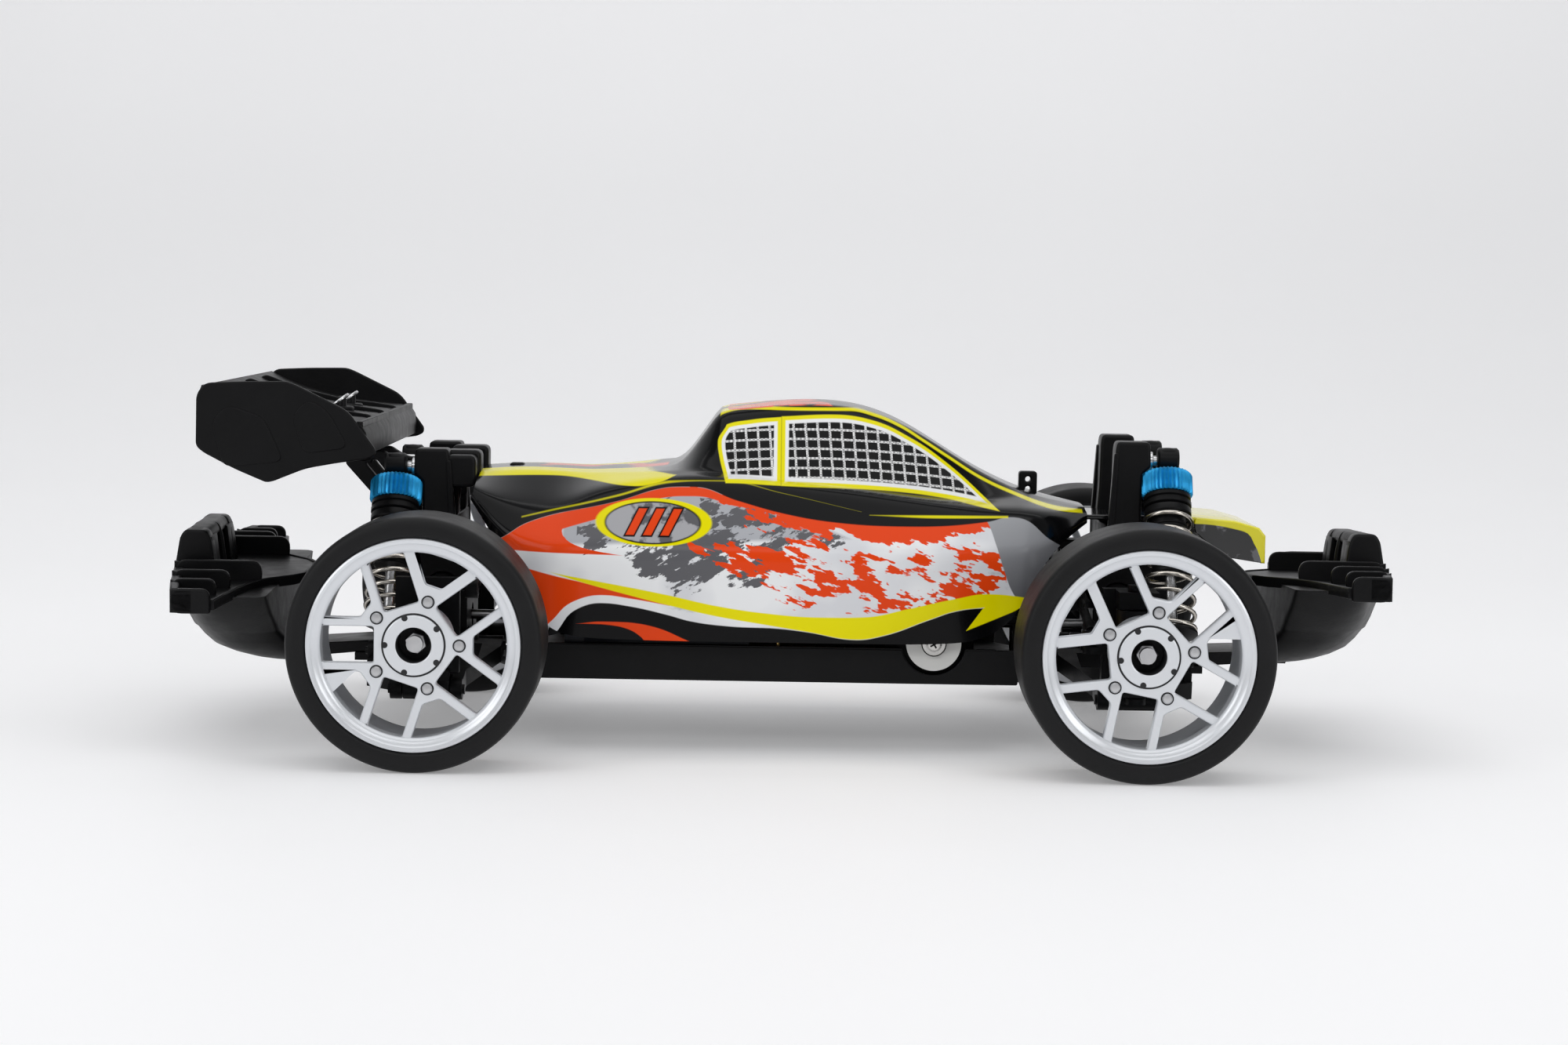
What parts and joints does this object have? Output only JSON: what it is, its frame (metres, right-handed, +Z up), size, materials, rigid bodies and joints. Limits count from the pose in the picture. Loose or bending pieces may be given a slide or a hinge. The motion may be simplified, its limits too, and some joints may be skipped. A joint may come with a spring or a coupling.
{
  "type": "rc buggy",
  "caption": "Four-wheel-drive off-road model car with independent suspension, linked steering, rear wing, bumpers and a lift-off body shell.",
  "frame": {"origin": "on the ground under the middle of the wheelbase and of the track, tyres resting on z=0", "axes": "+X forward, +Y to the car's left, +Z up"},
  "size_m": [0.3168, 0.176, 0.0929],
  "materials": {
    "tyre": "satin slick rubber",
    "rim": "glossy light silver-grey",
    "black_plastic": "moulded black nylon",
    "steel": "bright steel",
    "spring": "nickel-plated wire",
    "blue_cap": "blue anodised",
    "shell": "painted polycarbonate in black, orange, yellow and grey",
    "white_plastic": "white nylon",
    "motor_can": "plain can",
    "battery": "shrink-wrapped cells",
    "brass": "turned brass"
  },
  "bodies": {
    "chassis": {"chassis_tub": "black_plastic", "front_gearbox": "black_plastic", "rear_gearbox": "black_plastic", "front_shock_tower": "black_plastic", "rear_shock_tower": "black_plastic", "rear_wing": "black_plastic", "wing_clips": "steel", "front_bumper": "black_plastic", "rear_bumper": "black_plastic", "servo_case": "black_plastic", "motor": "motor_can", "battery_pack": "battery", "electronics": "black_plastic"},
    "arm_front_left": {"lower_arm_front_left": "black_plastic"},
    "caster_block_front_left_body": {"caster_block_front_left": "black_plastic"},
    "knuckle_front_left": {"steering_knuckle_front_left": "black_plastic"},
    "wheel_front_left": {"tyre_front_left": "tyre", "rim_front_left": "rim"},
    "link_front_left": {"upper_link_front_left": "black_plastic"},
    "shaft_front_left": {"drive_shaft_front_left": "steel"},
    "damper_front_left": {"shock_body_front_left": "blue_cap", "shock_spring_front_left": "spring"},
    "damper_rod_front_left": {"shock_rod_front_left": "black_plastic"},
    "track_rod_front_left": {"tie_rod_front_left": "black_plastic"},
    "arm_front_right": {"lower_arm_front_right": "black_plastic"},
    "caster_block_front_right_body": {"caster_block_front_right": "black_plastic"},
    "knuckle_front_right": {"steering_knuckle_front_right": "black_plastic"},
    "wheel_front_right": {"tyre_front_right": "tyre", "rim_front_right": "rim"},
    "link_front_right": {"upper_link_front_right": "black_plastic"},
    "shaft_front_right": {"drive_shaft_front_right": "steel"},
    "damper_front_right": {"shock_body_front_right": "blue_cap", "shock_spring_front_right": "spring"},
    "damper_rod_front_right": {"shock_rod_front_right": "black_plastic"},
    "track_rod_front_right": {"tie_rod_front_right": "black_plastic"},
    "arm_rear_left": {"lower_arm_rear_left": "black_plastic"},
    "rear_hub_rear_left_body": {"rear_hub_rear_left": "black_plastic"},
    "wheel_rear_left": {"tyre_rear_left": "tyre", "rim_rear_left": "rim"},
    "link_rear_left": {"upper_link_rear_left": "black_plastic"},
    "shaft_rear_left": {"drive_shaft_rear_left": "steel"},
    "damper_rear_left": {"shock_body_rear_left": "blue_cap", "shock_spring_rear_left": "spring"},
    "damper_rod_rear_left": {"shock_rod_rear_left": "black_plastic"},
    "arm_rear_right": {"lower_arm_rear_right": "black_plastic"},
    "rear_hub_rear_right_body": {"rear_hub_rear_right": "black_plastic"},
    "wheel_rear_right": {"tyre_rear_right": "tyre", "rim_rear_right": "rim"},
    "link_rear_right": {"upper_link_rear_right": "black_plastic"},
    "shaft_rear_right": {"drive_shaft_rear_right": "steel"},
    "damper_rear_right": {"shock_body_rear_right": "blue_cap", "shock_spring_rear_right": "spring"},
    "damper_rod_rear_right": {"shock_rod_rear_right": "black_plastic"},
    "bellcrank_body": {"bellcrank": "black_plastic"},
    "centre_link_body": {"centre_link": "black_plastic"},
    "drag_link_body": {"drag_link": "black_plastic"},
    "servo_horn_body": {"servo_horn": "white_plastic"},
    "drivetrain": {"centre_drive": "steel"},
    "pinion_body": {"motor_pinion": "brass"},
    "shell": {"body_shell": "shell"}
  },
  "joints": [
    {"name": "suspension_front_left", "type": "hinge", "parent": "chassis", "child": "arm_front_left", "pos_m": [0.0885, 0.015, 0.023], "axis": [1, 0, 0], "range_deg": [-8, 12], "stiffness_Nm_per_rad": 0.6, "springref_deg": -4.58},
    {"name": "hub_pivot_front_left", "type": "hinge", "parent": "arm_front_left", "child": "caster_block_front_left_body", "pos_m": [0.0885, 0.05445, 0.0164], "axis": [1, 0, 0], "range_deg": [-12.5, 8.5]},
    {"name": "steering_front_left", "type": "hinge", "parent": "caster_block_front_left_body", "child": "knuckle_front_left", "pos_m": [0.0885, 0.0605, 0.031], "axis": [0, 0, 1], "range_deg": [-20, 20]},
    {"name": "wheel_spin_front_left", "type": "hinge", "parent": "knuckle_front_left", "child": "wheel_front_left", "pos_m": [0.0885, 0.075, 0.031], "axis": [0, 1, 0], "continuous": true},
    {"name": "upper_link_pivot_front_left", "type": "hinge", "parent": "chassis", "child": "link_front_left", "pos_m": [0.0775, 0.01395, 0.0486], "axis": [1, 0, 0], "range_deg": [-8.5, 12.5]},
    {"name": "drive_shaft_pivot_front_left", "type": "hinge", "parent": "chassis", "child": "shaft_front_left", "pos_m": [0.0885, 0.02105, 0.0376], "axis": [1, 0, 0], "range_deg": [-8.5, 12.5]},
    {"name": "shock_pivot_front_left", "type": "hinge", "parent": "chassis", "child": "damper_front_left", "pos_m": [0.1, 0.018, 0.0745], "axis": [1, 0, 0], "range_deg": [-4, 5]},
    {"name": "shock_stroke_front_left", "type": "slide", "parent": "damper_front_left", "child": "damper_rod_front_left", "axis": [0, 0.4415, -0.8973], "range_m": [-0.0065, 0.0045], "deforming": ["shock_spring_front_left"]},
    {"name": "tie_rod_pivot_front_left", "type": "hinge", "parent": "centre_link_body", "child": "track_rod_front_left", "pos_m": [0.0775, 0.02105, 0.0398], "axis": [1, 0, 0], "range_deg": [-8.5, 12.5]},
    {"name": "suspension_front_right", "type": "hinge", "parent": "chassis", "child": "arm_front_right", "pos_m": [0.0885, -0.015, 0.023], "axis": [-1, 0, 0], "range_deg": [-8, 12], "stiffness_Nm_per_rad": 0.6, "springref_deg": -4.58},
    {"name": "hub_pivot_front_right", "type": "hinge", "parent": "arm_front_right", "child": "caster_block_front_right_body", "pos_m": [0.0885, -0.05445, 0.0164], "axis": [-1, 0, 0], "range_deg": [-12.5, 8.5]},
    {"name": "steering_front_right", "type": "hinge", "parent": "caster_block_front_right_body", "child": "knuckle_front_right", "pos_m": [0.0885, -0.0605, 0.031], "axis": [0, 0, 1], "range_deg": [-20, 20]},
    {"name": "wheel_spin_front_right", "type": "hinge", "parent": "knuckle_front_right", "child": "wheel_front_right", "pos_m": [0.0885, -0.075, 0.031], "axis": [0, 1, 0], "continuous": true},
    {"name": "upper_link_pivot_front_right", "type": "hinge", "parent": "chassis", "child": "link_front_right", "pos_m": [0.0775, -0.01395, 0.0486], "axis": [-1, 0, 0], "range_deg": [-8.5, 12.5]},
    {"name": "drive_shaft_pivot_front_right", "type": "hinge", "parent": "chassis", "child": "shaft_front_right", "pos_m": [0.0885, -0.02105, 0.0376], "axis": [-1, 0, 0], "range_deg": [-8.5, 12.5]},
    {"name": "shock_pivot_front_right", "type": "hinge", "parent": "chassis", "child": "damper_front_right", "pos_m": [0.1, -0.018, 0.0745], "axis": [-1, 0, 0], "range_deg": [-4, 5]},
    {"name": "shock_stroke_front_right", "type": "slide", "parent": "damper_front_right", "child": "damper_rod_front_right", "axis": [0, -0.4415, -0.8973], "range_m": [-0.0065, 0.0045], "deforming": ["shock_spring_front_right"]},
    {"name": "tie_rod_pivot_front_right", "type": "hinge", "parent": "centre_link_body", "child": "track_rod_front_right", "pos_m": [0.0775, -0.02105, 0.0398], "axis": [-1, 0, 0], "range_deg": [-8.5, 12.5]},
    {"name": "suspension_rear_left", "type": "hinge", "parent": "chassis", "child": "arm_rear_left", "pos_m": [-0.0885, 0.015, 0.023], "axis": [1, 0, 0], "range_deg": [-8, 12], "stiffness_Nm_per_rad": 0.6, "springref_deg": -4.58},
    {"name": "hub_pivot_rear_left", "type": "hinge", "parent": "arm_rear_left", "child": "rear_hub_rear_left_body", "pos_m": [-0.0885, 0.05445, 0.0164], "axis": [1, 0, 0], "range_deg": [-12.5, 8.5]},
    {"name": "wheel_spin_rear_left", "type": "hinge", "parent": "rear_hub_rear_left_body", "child": "wheel_rear_left", "pos_m": [-0.0885, 0.075, 0.031], "axis": [0, 1, 0], "continuous": true},
    {"name": "upper_link_pivot_rear_left", "type": "hinge", "parent": "chassis", "child": "link_rear_left", "pos_m": [-0.0775, 0.01395, 0.0486], "axis": [1, 0, 0], "range_deg": [-8.5, 12.5]},
    {"name": "drive_shaft_pivot_rear_left", "type": "hinge", "parent": "chassis", "child": "shaft_rear_left", "pos_m": [-0.0885, 0.02105, 0.0376], "axis": [1, 0, 0], "range_deg": [-8.5, 12.5]},
    {"name": "shock_pivot_rear_left", "type": "hinge", "parent": "chassis", "child": "damper_rear_left", "pos_m": [-0.1, 0.018, 0.0745], "axis": [1, 0, 0], "range_deg": [-4, 5]},
    {"name": "shock_stroke_rear_left", "type": "slide", "parent": "damper_rear_left", "child": "damper_rod_rear_left", "axis": [0, 0.4415, -0.8973], "range_m": [-0.0065, 0.0045], "deforming": ["shock_spring_rear_left"]},
    {"name": "suspension_rear_right", "type": "hinge", "parent": "chassis", "child": "arm_rear_right", "pos_m": [-0.0885, -0.015, 0.023], "axis": [-1, 0, 0], "range_deg": [-8, 12], "stiffness_Nm_per_rad": 0.6, "springref_deg": -4.58},
    {"name": "hub_pivot_rear_right", "type": "hinge", "parent": "arm_rear_right", "child": "rear_hub_rear_right_body", "pos_m": [-0.0885, -0.05445, 0.0164], "axis": [-1, 0, 0], "range_deg": [-12.5, 8.5]},
    {"name": "wheel_spin_rear_right", "type": "hinge", "parent": "rear_hub_rear_right_body", "child": "wheel_rear_right", "pos_m": [-0.0885, -0.075, 0.031], "axis": [0, 1, 0], "continuous": true},
    {"name": "upper_link_pivot_rear_right", "type": "hinge", "parent": "chassis", "child": "link_rear_right", "pos_m": [-0.0775, -0.01395, 0.0486], "axis": [-1, 0, 0], "range_deg": [-8.5, 12.5]},
    {"name": "drive_shaft_pivot_rear_right", "type": "hinge", "parent": "chassis", "child": "shaft_rear_right", "pos_m": [-0.0885, -0.02105, 0.0376], "axis": [-1, 0, 0], "range_deg": [-8.5, 12.5]},
    {"name": "shock_pivot_rear_right", "type": "hinge", "parent": "chassis", "child": "damper_rear_right", "pos_m": [-0.1, -0.018, 0.0745], "axis": [-1, 0, 0], "range_deg": [-4, 5]},
    {"name": "shock_stroke_rear_right", "type": "slide", "parent": "damper_rear_right", "child": "damper_rod_rear_right", "axis": [0, -0.4415, -0.8973], "range_m": [-0.0065, 0.0045], "deforming": ["shock_spring_rear_right"]},
    {"name": "bellcrank_pivot", "type": "hinge", "parent": "chassis", "child": "bellcrank_body", "pos_m": [0.066, 0, 0.033], "axis": [0, 0, 1], "range_deg": [-20, 20]},
    {"name": "centre_link_pivot", "type": "hinge", "parent": "bellcrank_body", "child": "centre_link_body", "pos_m": [0.055, 0, 0.0354], "axis": [0, 0, 1], "range_deg": [-20, 20]},
    {"name": "drag_link_pivot", "type": "hinge", "parent": "bellcrank_body", "child": "drag_link_body", "pos_m": [0.066, -0.011, 0.031], "axis": [0, 0, 1], "range_deg": [-20, 20]},
    {"name": "servo_spin", "type": "hinge", "parent": "chassis", "child": "servo_horn_body", "pos_m": [0.039, -0.042, 0.0285], "axis": [0, 1, 0], "range_deg": [-41, 41]},
    {"name": "centre_drive_spin", "type": "hinge", "parent": "chassis", "child": "drivetrain", "pos_m": [0, 0, 0.0295], "axis": [1, 0, 0], "continuous": true},
    {"name": "motor_pinion_spin", "type": "hinge", "parent": "chassis", "child": "pinion_body", "pos_m": [0, 0.0135, 0.0348], "axis": [1, 0, 0], "continuous": true},
    {"name": "body_lift_off", "type": "slide", "parent": "chassis", "child": "shell", "axis": [0, 0, 1], "range_m": [0, 0.07]}
  ],
  "couplings": [
    {"joint": "hub_pivot_front_left", "follows": "suspension_front_left", "ratio": -1},
    {"joint": "upper_link_pivot_front_left", "follows": "suspension_front_left", "ratio": 1},
    {"joint": "drive_shaft_pivot_front_left", "follows": "suspension_front_left", "ratio": 1},
    {"joint": "shock_pivot_front_left", "follows": "suspension_front_left", "ratio": 0.18751},
    {"joint": "shock_stroke_front_left", "follows": "suspension_front_left", "m_per_rad": -0.025904},
    {"joint": "tie_rod_pivot_front_left", "follows": "suspension_front_left", "ratio": 1},
    {"joint": "hub_pivot_front_right", "follows": "suspension_front_right", "ratio": -1},
    {"joint": "upper_link_pivot_front_right", "follows": "suspension_front_right", "ratio": 1},
    {"joint": "drive_shaft_pivot_front_right", "follows": "suspension_front_right", "ratio": 1},
    {"joint": "shock_pivot_front_right", "follows": "suspension_front_right", "ratio": 0.18751},
    {"joint": "shock_stroke_front_right", "follows": "suspension_front_right", "m_per_rad": -0.025904},
    {"joint": "tie_rod_pivot_front_right", "follows": "suspension_front_right", "ratio": 1},
    {"joint": "hub_pivot_rear_left", "follows": "suspension_rear_left", "ratio": -1},
    {"joint": "upper_link_pivot_rear_left", "follows": "suspension_rear_left", "ratio": 1},
    {"joint": "drive_shaft_pivot_rear_left", "follows": "suspension_rear_left", "ratio": 1},
    {"joint": "shock_pivot_rear_left", "follows": "suspension_rear_left", "ratio": 0.18751},
    {"joint": "shock_stroke_rear_left", "follows": "suspension_rear_left", "m_per_rad": -0.025904},
    {"joint": "hub_pivot_rear_right", "follows": "suspension_rear_right", "ratio": -1},
    {"joint": "upper_link_pivot_rear_right", "follows": "suspension_rear_right", "ratio": 1},
    {"joint": "drive_shaft_pivot_rear_right", "follows": "suspension_rear_right", "ratio": 1},
    {"joint": "shock_pivot_rear_right", "follows": "suspension_rear_right", "ratio": 0.18751},
    {"joint": "shock_stroke_rear_right", "follows": "suspension_rear_right", "m_per_rad": -0.025904},
    {"joint": "steering_front_left", "follows": "steering_front_right", "ratio": 1},
    {"joint": "bellcrank_pivot", "follows": "steering_front_right", "ratio": 1},
    {"joint": "centre_link_pivot", "follows": "steering_front_right", "ratio": -1},
    {"joint": "drag_link_pivot", "follows": "steering_front_right", "ratio": -1},
    {"joint": "servo_spin", "follows": "steering_front_right", "ratio": 2},
    {"joint": "motor_pinion_spin", "follows": "centre_drive_spin", "ratio": -2.6}
  ]
}
